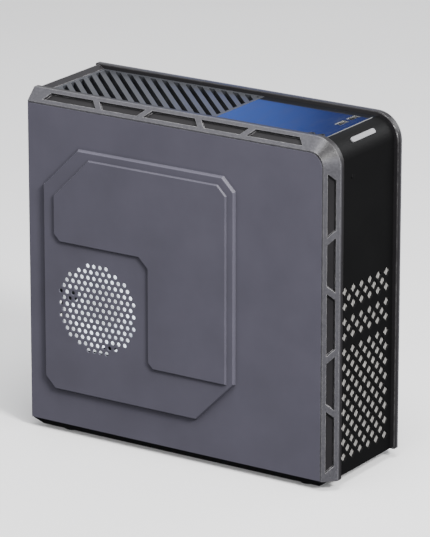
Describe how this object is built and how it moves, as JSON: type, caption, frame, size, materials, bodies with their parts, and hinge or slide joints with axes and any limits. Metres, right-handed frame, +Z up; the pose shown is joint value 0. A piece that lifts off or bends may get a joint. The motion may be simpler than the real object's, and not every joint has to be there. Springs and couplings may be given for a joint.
{
  "type": "desktop computer tower",
  "caption": "Slim desktop computer tower: embossed vented steel side panels in chamfered trim rails, lattice front, slatted top, with mainboard, power supply, drive and fans inside.",
  "frame": {"origin": "on the floor, at the centre of the bounding box's lowest face", "axes": "+Z up, -Y out of the front, -X out of the vented side panel"},
  "size_m": [0.1176, 0.2876, 0.284],
  "materials": {
    "panel_paint": "satin",
    "trim_paint": "satin",
    "bezel_black": "fine matt",
    "cover_gloss": "glossy",
    "grille_plastic": "satin",
    "light_bar": "frosted",
    "screen_metal": "satin",
    "chassis_steel": "satin",
    "zinc_steel": "bright zinc",
    "plinth_black": "matt",
    "pad_rubber": "matt",
    "screw_black": "black zinc",
    "brass_fitting": "turned",
    "circuit_board": "solder mask",
    "connector_plastic": "moulded",
    "heatsink_metal": "mill",
    "fan_white": "frosted",
    "fan_black": "matt",
    "drive_shell": "satin",
    "lead_sleeve": "braided",
    "socket_metal": "stamped"
  },
  "bodies": {
    "chassis": {"base_pan": "chassis_steel", "base_plinth": "plinth_black", "board_connectors": "connector_plastic", "board_heatsinks": "heatsink_metal", "board_power_lead": "lead_sleeve", "board_screws": "zinc_steel", "board_standoffs": "brass_fitting", "board_tray": "chassis_steel", "cooler_fan_frame": "fan_white", "cooler_heatsink": "heatsink_metal", "drive_bracket": "zinc_steel", "drive_data_lead": "lead_sleeve", "expansion_connector": "connector_plastic", "front_bezel": "bezel_black", "front_switch_boards": "circuit_board", "front_wall": "chassis_steel", "intake_fan_frame": "fan_black", "intake_screen": "screen_metal", "io_shield": "socket_metal", "left_trim_rail": "trim_paint", "mainboard": "circuit_board", "mains_inlet": "connector_plastic", "mains_inlet_blades": "brass_fitting", "memory_modules": "circuit_board", "memory_slots": "connector_plastic", "power_supply_case": "zinc_steel", "power_switch": "connector_plastic", "processor_socket": "socket_metal", "rear_audio_jacks": "connector_plastic", "rear_display_socket": "socket_metal", "rear_network_socket": "socket_metal", "rear_panel": "chassis_steel", "rear_top_trim": "trim_paint", "rear_usb_sockets": "socket_metal", "reset_switch": "connector_plastic", "right_trim_rail": "trim_paint", "rubber_feet": "pad_rubber", "slot_cover": "zinc_steel", "slot_cover_screw": "zinc_steel", "storage_drive": "drive_shell", "supply_circuit_board": "circuit_board", "supply_fan_frame": "fan_black", "supply_fan_guard": "zinc_steel", "supply_switch_frame": "connector_plastic", "top_audio_jacks": "connector_plastic", "top_cross_bars": "chassis_steel", "top_grille": "grille_plastic", "top_plate": "cover_gloss", "top_socket_board": "circuit_board", "top_usb_sockets": "socket_metal"},
    "left_panel": {"left_side_panel": "panel_paint", "left_panel_screws": "screw_black"},
    "right_panel": {"right_side_panel": "panel_paint", "right_panel_screws": "screw_black"},
    "power_key": {"power_button": "light_bar"},
    "reset_key": {"reset_button": "bezel_black"},
    "cooler_wheel": {"cooler_fan_rotor": "fan_white"},
    "intake_wheel": {"intake_fan_rotor": "fan_black"},
    "supply_wheel": {"supply_fan_rotor": "fan_black"},
    "mains_rocker": {"supply_switch_rocker": "connector_plastic"}
  },
  "joints": [
    {"name": "left_panel_slide", "type": "slide", "parent": "chassis", "child": "left_panel", "axis": [0, 1, 0], "range_m": [0, 0.28]},
    {"name": "right_panel_slide", "type": "slide", "parent": "chassis", "child": "right_panel", "axis": [0, 1, 0], "range_m": [0, 0.28]},
    {"name": "power_key_press", "type": "slide", "parent": "chassis", "child": "power_key", "axis": [0, 0.7071, -0.7071], "range_m": [0, 0.0012], "stiffness_N_per_m": 1500},
    {"name": "reset_key_press", "type": "slide", "parent": "chassis", "child": "reset_key", "axis": [0, 1, 0], "range_m": [0, 0.001], "stiffness_N_per_m": 1000},
    {"name": "cooler_fan_spin", "type": "hinge", "parent": "chassis", "child": "cooler_wheel", "pos_m": [-0.03, 0.0752, 0.112], "axis": [1, 0, 0], "continuous": true},
    {"name": "intake_fan_spin", "type": "hinge", "parent": "chassis", "child": "intake_wheel", "pos_m": [0, -0.1168, 0.1027], "axis": [0, 1, 0], "continuous": true},
    {"name": "supply_fan_spin", "type": "hinge", "parent": "chassis", "child": "supply_wheel", "pos_m": [0, 0.0483, 0.2572], "axis": [0, 0, 1], "continuous": true},
    {"name": "mains_rocker_tilt", "type": "hinge", "parent": "chassis", "child": "mains_rocker", "pos_m": [-0.024, 0.1358, 0.2335], "axis": [1, 0, 0], "range_deg": [-22, 0]}
  ]
}
